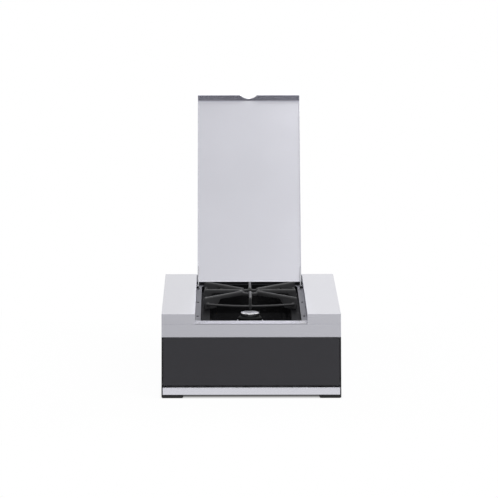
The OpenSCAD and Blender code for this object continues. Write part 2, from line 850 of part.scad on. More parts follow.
// Cast cup with its neck and horizontal mixing tube, bell-mouthed in front
module mixing_tube() {
    wall = tube_r - tube_bore;
    cup_wall = 6;
    color(alloy) burner_frame() difference() {
        union() {
            translate([0, 0, cup_bottom]) cylinder(r1 = cup_r - 5, r2 = cup_r, h = cup_h);
            translate([0, 0, bowl_floor]) cylinder(r = cup_r + 5, h = 2);
            translate([0, 0, tube_z]) cylinder(r = tube_r, h = cup_bottom - tube_z + 1);
            translate([0, 0, tube_z]) sphere(r = tube_r);
            translate([0, 0, tube_z]) rotate([90, 0, 0]) cylinder(r = tube_r, h = tube_l);
            translate([0, -tube_l, tube_z]) rotate([90, 0, 0])
                cylinder(r1 = tube_r, r2 = bell_r, h = bell_l);
            translate([0, stand_y, tube_z - tube_r - lug_h]) cylinder(r = stand_w / 3, h = 2 * lug_h);
        }
        translate([0, 0, cup_bottom + cup_wall - 1]) cylinder(r = cup_r - cup_wall, h = cup_h);
        translate([0, 0, tube_z]) cylinder(r = tube_bore, h = cup_top - tube_z + 1);
        translate([0, 0, tube_z]) sphere(r = tube_bore);
        translate([0, 0, tube_z]) rotate([90, 0, 0])
            cylinder(r = tube_bore, h = tube_l + bell_l + 1);
        translate([0, -tube_l, tube_z]) rotate([90, 0, 0])
            cylinder(r1 = tube_bore, r2 = bell_r - wall + 1, h = bell_l + eps);
        // air ports in the sides of the bell
        both_sides() translate([bell_r + wall, -tube_l - bell_l / 2, tube_z])
            rotate([0, 90, 0]) cylinder(r = bell_l / 4, h = 10, center = true);
    }
}

// Bent bracket that carries the tube from the floor of the pan
module tube_stand() {
    low = bottom + sheet;
    high = tube_z - tube_r - lug_h;
    t = 2;
    color(dark_steel) burner_frame() translate([0, stand_y, 0]) difference() {
        span([-stand_w, -stand_w, low], [stand_w, stand_w, high]);
        span([-stand_w + t, -stand_w - 1, low + t], [stand_w - t, stand_w + 1, high - t]);
    }
}

// Spark electrode behind the burner: ceramic post in the floor of the bowl and a tip
// bent towards the flame
module igniter() {
    pin_r = 1.1;
    below = 22;
    bend = 6;
    post_top = spreader_bottom + 3;
    color(ceramic) deck_frame() translate([igniter_x, igniter_y, 0]) {
        translate([0, 0, bowl_floor - below]) cylinder(r = igniter_r, h = post_top - bowl_floor + below);
        translate([0, 0, bowl_floor - bowl_t - 3]) cylinder(r = igniter_r + 3.1, h = 3);
        translate([0, 0, bowl_floor - below - 8]) cylinder(r = pin_r, h = 12);
        translate([0, 0, post_top - 1]) cylinder(r = pin_r, h = 5);
        rod([0, 0, post_top + 3],
            [-bend * sin(igniter_turn), -bend * cos(igniter_turn), post_top + 4.5], pin_r);
    }
}

// Flame sensor: a metal probe in a collar under the bowl
module flame_sensor() {
    below = 20;
    tip = spreader_bottom + 7;
    color(brass) deck_frame() translate([-igniter_x, igniter_y, 0]) {
        translate([0, 0, bowl_floor - below])
            cylinder(r = sensor_r, h = tip - bowl_floor + below - sensor_r);
        translate([0, 0, tip - sensor_r]) sphere(r = sensor_r);
        translate([0, 0, bowl_floor - bowl_t - 3]) cylinder(r = sensor_r + 3.8, h = 3, $fn = 6);
        translate([0, 0, bowl_floor - below - 6]) cylinder(r = sensor_r + 1, h = 10);
    }
}

// Spark generator on the floor of the pan, with a foot at each side and three terminals
module spark_box() {
    box = [48, 68, 26];
    lug = [60, 20, 2];
    stub_r = 3;
    stub_l = 7;
    // clear of the side panel, and of the tap's panel in front of it
    clear_side = 26.8;
    clear_front = 59;
    place = [inner_w - flange_h - lug[0] / 2 - clear_side,
             panel_depth + box[1] / 2 + clear_front, bottom + sheet];
    color(charcoal) deck_frame() translate(place) {
        translate([-box[0] / 2, -box[1] / 2, 0]) cube(box);
        translate([-lug[0] / 2, -lug[1] / 2, 0]) cube(lug);
        for (row = [-1:1]) translate([-box[0] / 2, row * box[1] / 4, box[2] - 3 * stub_r])
            rotate([0, -90, 0]) cylinder(r = stub_r, h = stub_l);
    }
}

// ------------------------------------------------------------ the gas tap

// Brass tap: block with a neck through the panel, a tapered seat and two ports
module valve_body() {
    half = valve_w / 2;
    port_r = 4;
    spring_room = spring_l + collar_t + seat_gap;
    color(brass) tap_frame(valve_from) difference() {
        union() {
            translate([-half, -half, 0]) cube([valve_w, valve_w, valve_l]);
            translate([0, 0, -sheet - 1.5]) cylinder(r = neck_r, h = sheet + 2);
            translate([0, 0, valve_l - eps]) cylinder(r = feed_r + 3, h = union_l, $fn = 6);
            translate([-half - port_l, 0, inlet_d - valve_from]) rotate([0, 90, 0])
                cylinder(r = pipe_r + 2, h = port_l + 2);
        }
        translate([0, 0, -5]) cylinder(r = spindle_r + fit, h = 22);
        translate([0, 0, plug_from - valve_from - spring_room])
            cylinder(r = spring_r + 0.4, h = spring_room + eps);
        translate([0, 0, plug_from - valve_from])
            cylinder(r1 = plug_r + fit, r2 = plug_r - plug_taper + fit, h = plug_l + 0.4);
        translate([0, 0, plug_from - valve_from + plug_l]) cylinder(r = plug_bore, h = 2 * valve_l);
        translate([-half - port_l - 2, 0, inlet_d - valve_from]) rotate([0, 90, 0])
            cylinder(r = port_r, h = half + port_l + 2);
    }
}

// Tapered plug with a cross port and the socket that the spindle turns it by
module valve_plug() {
    float_l = 0.2;
    color(alloy) tap_frame(plug_from + float_l) difference() {
        cylinder(r1 = plug_r, r2 = plug_r - plug_taper * 0.98, h = plug_l - 2 * float_l);
        translate([0, 0, -1]) cylinder(r = spindle_r + fit, h = plug_l / 2);
        translate([0, 0, plug_l / 2 + 3]) cylinder(r = plug_bore, h = plug_l);
        translate([0, 0, inlet_d - plug_from]) rotate([0, 90, 0])
            translate([0, 0, -plug_r - 1]) cylinder(r = 2.2, h = plug_r + 1);
    }
}

// Spindle with the collar that its spring bears on
module valve_spindle() {
    from = knob_top + 4;
    to = plug_from + 6;
    color(alloy) tap_frame(0) {
        translate([0, 0, from]) cylinder(r = spindle_r, h = to - from);
        translate([0, 0, plug_from - spring_l - collar_t])
            cylinder(r = spring_r, h = collar_t);
    }
}

// Coil spring round the spindle, from its collar to the seat ahead of the plug
module valve_spring() {
    steps = spring_turns * 16;
    sides = 8;
    r = spring_r - spring_wire;
    low = plug_from - spring_l + spring_wire;
    rise = (spring_l - 2 * spring_wire - 0.2) / steps;
    points = [for (i = [0:steps], k = [0:sides - 1])
        let (turn = i * 360 / 16, round = k * 360 / sides, at = r + spring_wire * cos(round))
        [at * cos(turn), at * sin(turn), low + i * rise + spring_wire * sin(round)]];
    walls = [for (i = [0:steps - 1], k = [0:sides - 1])
        let (next = (k + 1) % sides)
        [i * sides + k, (i + 1) * sides + k, (i + 1) * sides + next, i * sides + next]];
    color(dark_steel) tap_frame()
        polyhedron(points, concat(walls, [[for (k = [0:sides - 1]) k]],
                   [[for (k = [sides - 1:-1:0]) steps * sides + k]]), convexity = 8);
}

// Knob: a skirted body with a raised finger bar and a bore for the spindle
module knob() {
    bar_w = 9;
    skirt = 5;
    color(charcoal) tap_frame(knob_top) difference() {
        union() {
            translate([0, 0, knob_h - skirt]) cylinder(r = knob_r, h = skirt);
            cylinder(r1 = knob_r - 6, r2 = knob_r - 4, h = knob_h - skirt + eps);
            intersection() {
                translate([-bar_w / 2, -knob_r, 0]) cube([bar_w, 2 * knob_r, knob_h]);
                cylinder(r1 = knob_r - 2, r2 = knob_r, h = knob_h);
            }
        }
        translate([0, 0, 4]) cylinder(r = spindle_r, h = knob_h);
        for (i = [0:23]) rotate([0, 0, i * 15]) translate([knob_r + 0.6, 0, knob_h - skirt - 1])
            cylinder(r = 1.4, h = skirt + 2);
    }
}

// ---------------------------------------------------------- the gas supply

// Main pipe: from the rear inlet forward beside the bowl and across to the tap
module gas_rail() {
    from = [-valve_w / 2 - port_l, tap_y, pipe_z];
    turn = [-rail_x, tap_y, pipe_z];
    end = [-rail_x, deck_d - 14, pipe_z];
    color(alloy) deck_frame() difference() {
        union() {
            rod(from, turn, pipe_r);
            translate(turn) sphere(r = pipe_r);
            rod(turn, end, pipe_r);
        }
        rod(from + [1, 0, 0], turn, pipe_bore);
        translate(turn) sphere(r = pipe_bore);
        rod(turn, end + [0, 1, 0], pipe_bore);
    }
}

// Hexagon inside the rear panel, a lock nut outside it and the male thread beyond
module inlet_fitting() {
    hex_l = 14;
    hex_r = inlet_r + 4.6;
    color(brass) deck_frame() translate([-rail_x, deck_d, pipe_z]) rotate([-90, 0, 0]) difference() {
        union() {
            translate([0, 0, -hex_l]) cylinder(r = hex_r, h = hex_l - sheet, $fn = 6);
            translate([0, 0, -hex_l + eps]) cylinder(r = neck_out_r, h = hex_l);
            cylinder(r = hex_r, h = nut_l, $fn = 6);
            translate([0, 0, nut_l - eps]) cylinder(r = inlet_r, h = inlet_l + eps);
        }
        translate([0, 0, -hex_l - 1]) cylinder(r = pipe_bore, h = hex_l + nut_l + inlet_l + 2);
    }
}

// Small pipe from the tap to the injector, with a round joint where it turns level
module feed_pipe() {
    from = [0, outlet_y, outlet_z];
    turn = [0, outlet_y + feed_straight * cos(front_lean), tube_z];
    end = [0, jet_y - jet_back, tube_z];
    color(alloy) deck_frame() {
        difference() {
            rod(from, turn, feed_r);
            rod(from - (turn - from), turn, feed_r - 1);
        }
        translate(turn) sphere(r = feed_r + 2);
        difference() {
            rod(turn, end, feed_r);
            rod(turn, end + [0, 1, 0], feed_r - 1);
        }
    }
}

// Brass jet and its holder, ahead of the bell mouth
module injector() {
    hex_l = 9;
    shank_r = 5;
    shank_l = 7;
    nose_l = 3;
    color(brass) deck_frame() translate([0, jet_y - jet_back, tube_z]) rotate([-90, 0, 0])
        difference() {
            union() {
                cylinder(r = feed_r * 2, h = hex_l, $fn = 6);
                translate([0, 0, hex_l - eps]) cylinder(r = shank_r, h = shank_l);
                translate([0, 0, hex_l + shank_l - eps])
                    cylinder(r1 = shank_r, r2 = shank_r - 2, h = nose_l);
            }
            translate([0, 0, -1]) cylinder(r = feed_r - 1, h = hex_l + shank_l);
            translate([0, 0, hex_l + shank_l - 2]) cylinder(r = 0.6, h = 2 * nose_l + 2);
        }
}

top_deck();
front_apron();
well_frame();
well_wall(-1);  // well_wall_left
well_wall(1);  // well_wall_right
well_rear();
drip_bowl();
ledge_screw(0, -1);  // ledge_screw_1
ledge_screw(1, -1);  // ledge_screw_2
ledge_screw(2, -1);  // ledge_screw_3
ledge_screw(0, 1);  // ledge_screw_4
ledge_screw(1, 1);  // ledge_screw_5
ledge_screw(2, 1);  // ledge_screw_6
side_panel(-1);  // side_panel_left
side_panel(1);  // side_panel_right
rear_panel();
base_pan();
edge_trim(-1);  // edge_trim_left
edge_trim(1);  // edge_trim_right
foot(-foot_x, foot_front_y);  // foot_front_left
foot(foot_x, foot_front_y);  // foot_front_right
foot(-foot_x, foot_rear_y);  // foot_rear_left
foot(foot_x, foot_rear_y);  // foot_rear_right
front_rail();
control_panel();
knob_bezel();
lid_panel();
lid_ear(-1);  // lid_ear_left
lid_ear(1);  // lid_ear_right
hinge_pin(-1);  // hinge_pin_left
hinge_pin(1);  // hinge_pin_right
flap_plate();
flap_frame();
flap_strike(-1);  // flap_strike_left
flap_strike(1);  // flap_strike_right
flap_pin(-1);  // flap_pin_left
flap_pin(1);  // flap_pin_right
magnet(-1);  // magnet_left
magnet(1);  // magnet_right
trivet();
burner_cap();
flame_spreader();
mixing_tube();
tube_stand();
igniter();
flame_sensor();
spark_box();
valve_body();
valve_plug();
valve_spindle();
valve_spring();
knob();
feed_pipe();
injector();
gas_rail();
inlet_fitting();
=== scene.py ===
# %% [markdown]
# # A single gas burner under a steel lid
# The real thing is a folded stainless steel body with a black enamelled bowl let into
# it. A cast iron trivet stands over one small burner, the lid is swung up and leans
# back, and a dark flap across the front hides the control knob. All of that is already
# built at its true size. This script gives the parts their metal, iron and enamel, and
# adds what is too fine for a construction model: cast edges, screws, a thread.

# %% Load the built parts
import json
import math

import bmesh
import bpy
import numpy as np
from mathutils import Matrix, Vector


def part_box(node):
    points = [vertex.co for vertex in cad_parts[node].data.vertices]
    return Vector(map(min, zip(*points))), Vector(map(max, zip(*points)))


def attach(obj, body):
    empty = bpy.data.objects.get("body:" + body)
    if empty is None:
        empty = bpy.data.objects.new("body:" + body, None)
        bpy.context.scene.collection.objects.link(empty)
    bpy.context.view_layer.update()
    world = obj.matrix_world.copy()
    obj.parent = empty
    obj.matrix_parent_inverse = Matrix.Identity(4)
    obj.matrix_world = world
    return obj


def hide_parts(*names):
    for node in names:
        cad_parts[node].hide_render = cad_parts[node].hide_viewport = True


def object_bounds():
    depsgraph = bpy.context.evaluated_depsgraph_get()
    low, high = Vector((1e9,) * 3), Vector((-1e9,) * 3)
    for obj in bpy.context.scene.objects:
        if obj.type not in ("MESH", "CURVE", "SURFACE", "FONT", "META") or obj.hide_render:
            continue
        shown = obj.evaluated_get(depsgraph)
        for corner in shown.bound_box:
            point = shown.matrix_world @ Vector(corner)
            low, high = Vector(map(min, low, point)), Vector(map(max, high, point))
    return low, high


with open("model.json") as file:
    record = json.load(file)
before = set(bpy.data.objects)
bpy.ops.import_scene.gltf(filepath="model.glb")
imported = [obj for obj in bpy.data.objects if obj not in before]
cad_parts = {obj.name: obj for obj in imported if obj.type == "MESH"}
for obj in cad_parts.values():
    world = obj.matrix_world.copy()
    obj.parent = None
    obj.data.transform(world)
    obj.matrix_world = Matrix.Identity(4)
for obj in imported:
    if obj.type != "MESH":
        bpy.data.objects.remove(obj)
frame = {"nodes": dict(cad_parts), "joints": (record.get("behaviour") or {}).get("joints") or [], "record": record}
nodes = frame["nodes"]
body_of_node = {n: b for b, ns in frame["record"]["behaviour"]["bodies"].items() for n in ns}
slot_of_node = {s["node"]: s["material_slot"] for s in frame["record"]["subparts"]}
cad_low, cad_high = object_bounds()
print("parts:", len(nodes), "box in metres:", [round(v, 3) for v in cad_high - cad_low])

# %% [markdown]
# ## Where we stand
# A catalogue view is taken with a long lens from seven metres away, so that the sides
# stay upright and the lid hardly shrinks towards its top. A camera close by with a wide
# lens would frame the same object, but the lid would taper. The focal length is given in
# pixels of a frame that is 498 pixels wide, and the width of the sensor turns it into
# millimetres.

# %% Camera
frame_px = 498
focal_px = 3417.5
sensor_mm = 36
pitch = math.radians(8.94)
yaw = math.radians(0.44)
camera_place = (-0.0595, -7.4701, 1.4330)

camera = bpy.data.objects.new("camera", bpy.data.cameras.new("camera"))
camera.data.sensor_width = sensor_mm
camera.data.lens = focal_px / frame_px * camera.data.sensor_width
camera.data.clip_end = 100
camera.location = camera_place
camera.rotation_euler = (math.radians(90) - pitch, 0, -yaw)
bpy.context.scene.collection.objects.link(camera)
bpy.context.scene.camera = camera
bpy.context.scene.view_settings.view_transform = "Standard"
print("lens:", round(camera.data.lens, 1), "mm")

# %% [markdown]
# ## A white studio
# Metal shows what stands round it, so the studio matters more than the lamps. The world
# answers each kind of ray in its own way. A camera ray sees plain white. A ray that
# lights a matt surface sees an even room of half that brightness. A ray mirrored by
# metal sees a room that is white behind, greyer in front, a little brighter on the
# right, where the big lamp is, brighter still high up the walls, and dim overhead,
# where a studio has a dark ceiling. One flat white world would be simpler, but then
# every steel face would have the same tone and the folds would vanish. A direction is
# an arrow of length one, so each band below is a range of its x, y or z.

# %% Node helpers
def make(tree, kind, **settings):
    """Adds one shader node and sets its sockets by name or its properties."""
    node = tree.nodes.new(kind)
    for key, value in settings.items():
        if key in node.inputs:
            node.inputs[key].default_value = value
        else:
            setattr(node, key, value)
    return node


def remap(tree, value, low, high, to_low, to_high):
    """Stretches a value from one range to another, smoothly at both ends."""
    node = make(tree, "ShaderNodeMapRange", interpolation_type="SMOOTHSTEP")
    for socket, number in zip(("From Min", "From Max", "To Min", "To Max"),
                              (low, high, to_low, to_high)):
        node.inputs[socket].default_value = number
    tree.links.new(value, node.inputs["Value"])
    return node.outputs["Result"]


def maths(tree, operation, a, b):
    """One sum of two values, each a socket or a plain number."""
    node = make(tree, "ShaderNodeMath", operation=operation)
    for socket, value in zip(node.inputs, (a, b)):
        if isinstance(value, (int, float)):
            socket.default_value = value
        else:
            tree.links.new(value, socket)
    return node.outputs[0]


def axes(tree, kind="Object"):
    """The x, y and z of the point being shaded or, in the world, of the ray's direction."""
    coords = make(tree, "ShaderNodeTexCoord")
    split = make(tree, "ShaderNodeSeparateXYZ")
    tree.links.new(coords.outputs[kind], split.inputs[0])
    return split.outputs


def kinds_of_ray(tree):
    """Two values: 1 for a ray from the camera, and 1 for a ray mirrored or let through."""
    rays = make(tree, "ShaderNodeLightPath")
    mirrored = maths(tree, "MAXIMUM", rays.outputs["Is Glossy Ray"],
                     rays.outputs["Is Transmission Ray"])
    return rays.outputs["Is Camera Ray"], mirrored


print("helpers: make, remap, maths, axes, kinds_of_ray")

# %% The room that metal reflects
room_front = 0.84
room_back = 1.16
room_right = 0.11
room_upper = 1.43
room_ceiling = 0.30
front_band = (-1.0, 0.5)
side_band = (-0.09, 0.09)
upper_band = (0.42, 0.70)
ceiling_band = (0.815, 0.90)

world = bpy.data.worlds.new("studio")
bpy.context.scene.world = world
world.use_nodes = True
tree = world.node_tree
tree.nodes.clear()
towards = axes(tree, "Generated")
front_to_back = remap(tree, towards["Y"], *front_band, room_front, room_back)
sideways = remap(tree, towards["X"], *side_band, -room_right, room_right)
higher = remap(tree, towards["Z"], *upper_band, 1, room_upper)
walls = maths(tree, "MULTIPLY", maths(tree, "ADD", front_to_back, sideways), higher)
overhead = remap(tree, towards["Z"], *ceiling_band, 0.0, 1.0)
room = make(tree, "ShaderNodeMix", data_type="FLOAT", B=room_ceiling)
tree.links.new(overhead, room.inputs["Factor"])
tree.links.new(walls, room.inputs["A"])
print("room: front", room_front, "back", room_back, "ceiling", room_ceiling)

# %% What each kind of ray sees
ambient = 0.50

from_camera, mirrored = kinds_of_ray(tree)
seen = make(tree, "ShaderNodeMix", data_type="FLOAT", A=ambient)
tree.links.new(mirrored, seen.inputs["Factor"])
tree.links.new(room.outputs["Result"], seen.inputs["B"])
strength = make(tree, "ShaderNodeMix", data_type="FLOAT", B=1.0)
tree.links.new(from_camera, strength.inputs["Factor"])
tree.links.new(seen.outputs["Result"], strength.inputs["A"])
background = make(tree, "ShaderNodeBackground")
tree.links.new(strength.outputs["Result"], background.inputs["Strength"])
output = make(tree, "ShaderNodeOutputWorld")
tree.links.new(background.outputs[0], output.inputs["Surface"])
print("world: ambient", ambient)

# %% [markdown]
# ## Lamps
# Four soft boxes light the matt surfaces and throw the shadow under the body: a strong
# one at the right, weaker ones at the left and behind, and one overhead. Small bare
# lamps would be simpler, but they throw hard shadows and leave bright dots on the steel.

# %% Lamps
def softbox(name, place, aim, size, watts):
    """A flat rectangular lamp at a place, turned towards a point."""
    light = bpy.data.lights.new(name, "AREA")
    light.shape = "RECTANGLE"
    light.size, light.size_y = size
    light.energy = watts
    lamp = bpy.data.objects.new(name, light)
    lamp.location = place
    lamp.rotation_euler = (Vector(aim) - Vector(place)).to_track_quat("-Z", "Y").to_euler()
    bpy.context.scene.collection.objects.link(lamp)


middle = (cad_low + cad_high) / 2
softbox("lamp_right", place=(1.6, -1.4, 2.2), aim=middle, size=(1.6, 1.2), watts=26)
softbox("lamp_left", place=(-1.9, -1.2, 1.7), aim=middle, size=(1.2, 1.2), watts=9)
softbox("lamp_top", place=(0.05, 0.11, 2.6), aim=middle, size=(1.8, 1.2), watts=17)
softbox("lamp_back", place=(1.9, 2.2, 0.9), aim=middle, size=(1.2, 1.0), watts=12)

# %% [markdown]
# ## The floor
# The white sweep of a studio has no horizon. A camera ray is shown the floor mostly as
# its own plain white. How much of the light that really falls on it shows depends on the
# distance from the object: nearly all of it underneath, a little beside it, so that it
# keeps a faint shadow, and none far away. A ray mirrored by metal sees the same white
# paper near the object, but a dark room in front of the paper's edge. The flange of the
# open lid faces that way, which makes it darker than the rest of the lid.

# %% Floor
floor_reach = 30.0

floor_mesh = bpy.data.meshes.new("floor")
floor_mesh.from_pydata([(-floor_reach, -floor_reach, 0), (floor_reach, -floor_reach, 0),
                        (floor_reach, floor_reach, 0), (-floor_reach, floor_reach, 0)],
                       [], [(0, 1, 2, 3)])
floor = bpy.data.objects.new("floor", floor_mesh)
bpy.context.scene.collection.objects.link(floor)
print("floor:", 2 * floor_reach, "m square")

# %% How much of its shadow the floor shows
shadow_under = 0.92
shadow_beside = 0.04
shadow_edge = (-0.03, 0.01)
shadow_reach = 0.45

paper = bpy.data.materials.new("paper")
paper.use_nodes = True
tree = paper.node_tree
tree.nodes.clear()
spot = axes(tree)
foot_low, foot_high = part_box("base_pan")
past_side = maths(tree, "SUBTRACT", maths(tree, "ABSOLUTE", spot["X"], 0), foot_high[0])
past_front = maths(tree, "SUBTRACT", foot_low[1], spot["Y"])
past_back = maths(tree, "SUBTRACT", spot["Y"], foot_high[1])
past = maths(tree, "MAXIMUM", past_side, maths(tree, "MAXIMUM", past_front, past_back))
shown = maths(tree, "ADD", remap(tree, past, *shadow_edge, shadow_under - shadow_beside, 0),
              remap(tree, past, 0.0, shadow_reach, shadow_beside, 0))
print("shadow: shows", shadow_under, "underneath,", shadow_beside, "beside")

# %% White paper and the dark room in front of it
paper_tone = (0.9, 0.9, 0.9, 1)
paper_front = 0.75
paper_fade = 0.25
room_dark = 0.92

lit = make(tree, "ShaderNodeBsdfDiffuse", Color=paper_tone)
from_camera, mirrored = kinds_of_ray(tree)
past_edge = remap(tree, spot["Y"], -paper_front - paper_fade, -paper_front, 1, 0)
darkened = maths(tree, "MULTIPLY", maths(tree, "MULTIPLY", mirrored, past_edge), room_dark)
plain = make(tree, "ShaderNodeEmission")
tree.links.new(maths(tree, "SUBTRACT", 1, darkened), plain.inputs["Strength"])
watched = maths(tree, "MAXIMUM", from_camera, mirrored)
share = maths(tree, "MULTIPLY", watched, maths(tree, "SUBTRACT", 1, shown))
blend = make(tree, "ShaderNodeMixShader")
tree.links.new(share, blend.inputs[0])
tree.links.new(lit.outputs[0], blend.inputs[1])
tree.links.new(plain.outputs[0], blend.inputs[2])
output = make(tree, "ShaderNodeOutputMaterial")
tree.links.new(blend.outputs[0], output.inputs["Surface"])
floor_mesh.materials.append(paper)
print("paper: ends", paper_front, "m in front of the middle")

# %% [markdown]
# ## Materials from noise
# No picture is wrapped round anything here. Each finish starts from the same short
# recipe: a base colour, one or two layers of noise read in metres from the object's own
# coordinates, and a bump that is as deep as the real grain. Reading the noise in metres
# keeps every grain at its true size on every part, however large the part is.

# %% Material recipe
# a mix node has sockets for several kinds of value, and these are its colours
colour_a = 6
colour_b = 7
colour_out = 2
usual_noise = (0.3, 0.7)


def surface(name, colour, roughness, metallic=0.0):
    """A new material with its main shader, ready for layers of noise."""
    material = bpy.data.materials.new(name)
    material.use_nodes = True
    shader = material.node_tree.nodes["Principled BSDF"]
    shader.inputs["Base Color"].default_value = (*colour, 1)
    shader.inputs["Roughness"].default_value = roughness
    shader.inputs["Metallic"].default_value = metallic
    return material, material.node_tree, shader


def grain(tree, per_metre, detail=4.0, roughness=0.6):
    """Noise in metres: per_metre is how many grains fit in a metre along x, y and z."""
    coords = make(tree, "ShaderNodeTexCoord")
    stretch = make(tree, "ShaderNodeMapping", Scale=per_metre)
    tree.links.new(coords.outputs["Object"], stretch.inputs["Vector"])
    noise = make(tree, "ShaderNodeTexNoise", Scale=1.0, Detail=detail, Roughness=roughness)
    tree.links.new(stretch.outputs["Vector"], noise.inputs["Vector"])
    return noise.outputs["Fac"]


def blend_colours(tree, value, dark, light):
    """A colour that goes from one tone to another as a value goes from 0 to 1."""
    mix = make(tree, "ShaderNodeMix", data_type="RGBA")
    mix.inputs[colour_a].default_value = (*dark, 1)
    mix.inputs[colour_b].default_value = (*light, 1)
    tree.links.new(value, mix.inputs["Factor"])
    return mix.outputs[colour_out]


def vary_colour(tree, shader, value, dark, light):
    """Blends the base colour between two tones as the noise goes from low to high."""
    tree.links.new(blend_colours(tree, value, dark, light), shader.inputs["Base Color"])


def vary_roughness(tree, shader, value, smooth, rough):
    """Takes the roughness from smooth to rough over the range that noise usually has."""
    tree.links.new(remap(tree, value, *usual_noise, smooth, rough), shader.inputs["Roughness"])


def raise_bump(tree, shader, height, depth):
    """Turns a height into bumps of that depth in metres."""
    bump = make(tree, "ShaderNodeBump", Distance=depth, Strength=1.0)
    tree.links.new(height, bump.inputs["Height"])
    tree.links.new(bump.outputs[0], shader.inputs["Normal"])


print("recipe: surface, grain, blend_colours, vary_colour, vary_roughness, raise_bump")

# %% [markdown]
# ## Brushed stainless steel
# The sheets are brushed along their width before they are folded. The brush leaves
# scratches a few centimetres long and less than half a millimetre wide, so the noise is
# stretched more than a hundred times longer in x than across. A broad noise stands for
# the faint clouds that polishing and wiping leave on a large sheet. The ledge and the
# back wall of the recess are the same steel with painted shade in it: darker all over,
# and from the bowl's front edge backwards much darker and rougher, where the recess
# walls and the open lid shade them. A paint over them would hide the brushing, so the
# painted shade is multiplied into the steel's own colour.

# %% Stainless steel
steel_tone = (0.66, 0.66, 0.715)
tone_spread = 0.025
scratches_per_metre = (18, 2600, 2600)
clouds_per_metre = (5, 6, 6)
scratch_depth = 0.000008
# painted shade: tones multiplied into the recess steel, the lighter one in front of the bowl's front edge, the
# darker one behind it
painted_shade_front = (0.50, 0.50, 0.50)
painted_shade_back = (0.17, 0.17, 0.175)
painted_shade_fade = 0.02
shade_roughness = 0.22


def with_painted_shade(tree, tone, shade_mask):
    """The steel's colour with painted shade over it, light where the mask is 0 and heavy where it is 1."""
    # this mix multiplies the painted shade into the steel's tone
    wear_and_shade = make(tree, "ShaderNodeMix", data_type="RGBA", blend_type="MULTIPLY")
    wear_and_shade.inputs["Factor"].default_value = 1.0
    tree.links.new(tone, wear_and_shade.inputs[colour_a])
    tree.links.new(blend_colours(tree, shade_mask, painted_shade_front, painted_shade_back), wear_and_shade.inputs[colour_b])
    return wear_and_shade.outputs[colour_out]


def brushed(name, shade_behind=None):
    """Brushed steel, with painted shade if a line across it is given, most of all behind the line."""
    material, tree, shader = surface(name, steel_tone, 0.25, 1.0)
    scratches = grain(tree, scratches_per_metre, detail=3)
    clouds = grain(tree, clouds_per_metre, detail=2)
    pattern = maths(tree, "MULTIPLY", maths(tree, "ADD", scratches, clouds), 0.5)
    tone = blend_colours(tree, pattern, (c * (1 - tone_spread) for c in steel_tone),
                         (c * (1 + tone_spread) for c in steel_tone))
    rough = maths(tree, "ADD", remap(tree, scratches, *usual_noise, 0.20, 0.26),
                  remap(tree, clouds, *usual_noise, -0.01, 0.02))
    if shade_behind is not None:
        # painted shade: a mask that is 0 in front of the line and 1 behind it, which darkens the steel and makes
        # it rougher
        shade_mask = remap(tree, axes(tree)["Y"], shade_behind, shade_behind + painted_shade_fade, 0, 1)
        tone = with_painted_shade(tree, tone, shade_mask)
        rough = maths(tree, "ADD", rough, maths(tree, "MULTIPLY", shade_mask, shade_roughness))
    tree.links.new(tone, shader.inputs["Base Color"])
    tree.links.new(rough, shader.inputs["Roughness"])
    raise_bump(tree, shader, scratches, scratch_depth)
    return material


inside_edge = 0.002
stainless = brushed("stainless")
front_of_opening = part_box("drip_bowl")[0][1] + inside_edge
# the steel of the recess, with painted shade that is heaviest behind the bowl's front edge
shaded_steel = brushed("shaded_stainless", front_of_opening)
print("stainless:", steel_tone, "dulled from y =", round(front_of_opening, 3))

# %% [markdown]
# ## Plain steel
# Pins, screws and brackets are turned or stamped from plain steel and then tumbled. The
# tumbling leaves no direction in the finish, only a fine dull mottle, so one even noise
# is enough for the colour, the roughness and the bumps.

# %% Plain steel of pins, screws and brackets
plain_steel, tree, shader = surface("plain_steel", (0.36, 0.365, 0.38), 0.42, 1.0)
spots = grain(tree, (900, 900, 900), detail=5)
vary_colour(tree, shader, spots, (0.27, 0.275, 0.29), (0.43, 0.435, 0.45))
vary_roughness(tree, shader, spots, 0.34, 0.5)
raise_bump(tree, shader, spots, 0.00001)
print("plain steel: pins, screws, brackets")

# %% [markdown]
# ## Zinc coated sheet
# The tray below and the panels inside are plain zinc coated steel. Hot zinc sets in
# crystals of a few millimetres that each catch the light differently, which a cell
# pattern gives directly. Noise alone would look like dirt and not like spangle.

# %% Galvanised sheet
crystals_per_metre = 220.0

galvanised, tree, shader = surface("galvanised", (0.40, 0.41, 0.43), 0.45, 1.0)
coords = make(tree, "ShaderNodeTexCoord")
cells = make(tree, "ShaderNodeTexVoronoi", Scale=crystals_per_metre)
tree.links.new(coords.outputs["Object"], cells.inputs["Vector"])
spangle = make(tree, "ShaderNodeRGBToBW")
tree.links.new(cells.outputs["Color"], spangle.inputs[0])
vary_colour(tree, shader, spangle.outputs[0], (0.33, 0.34, 0.36), (0.47, 0.48, 0.50))
tree.links.new(remap(tree, spangle.outputs[0], 0, 1, 0.36, 0.56), shader.inputs["Roughness"])
raise_bump(tree, shader, grain(tree, (700, 700, 700)), 0.000008)
print("galvanised: crystals of", round(1000 / crystals_per_metre, 1), "mm")

# %% [markdown]
# ## Black enamel
# The bowl is pressed steel with fired glass on it. It is nearly black, quite glossy, and
# has a slight waviness from running in the kiln, which bends the reflections a little.
# The shelf below the rim is burnt and worn dull. It is seen almost edge on, where any
# gloss mirrors the white room and turns it grey, so the gloss fades out with height. A
# second material would have to be given to single faces of the built mesh, which stays
# as it is, so the shelf is told from the rest by its height.

# %% Vitreous enamel
ripples_per_metre = (120, 120, 120)
pits_per_metre = (1500, 1500, 1500)
ripple_depth = 0.00018
pit_share = 0.05

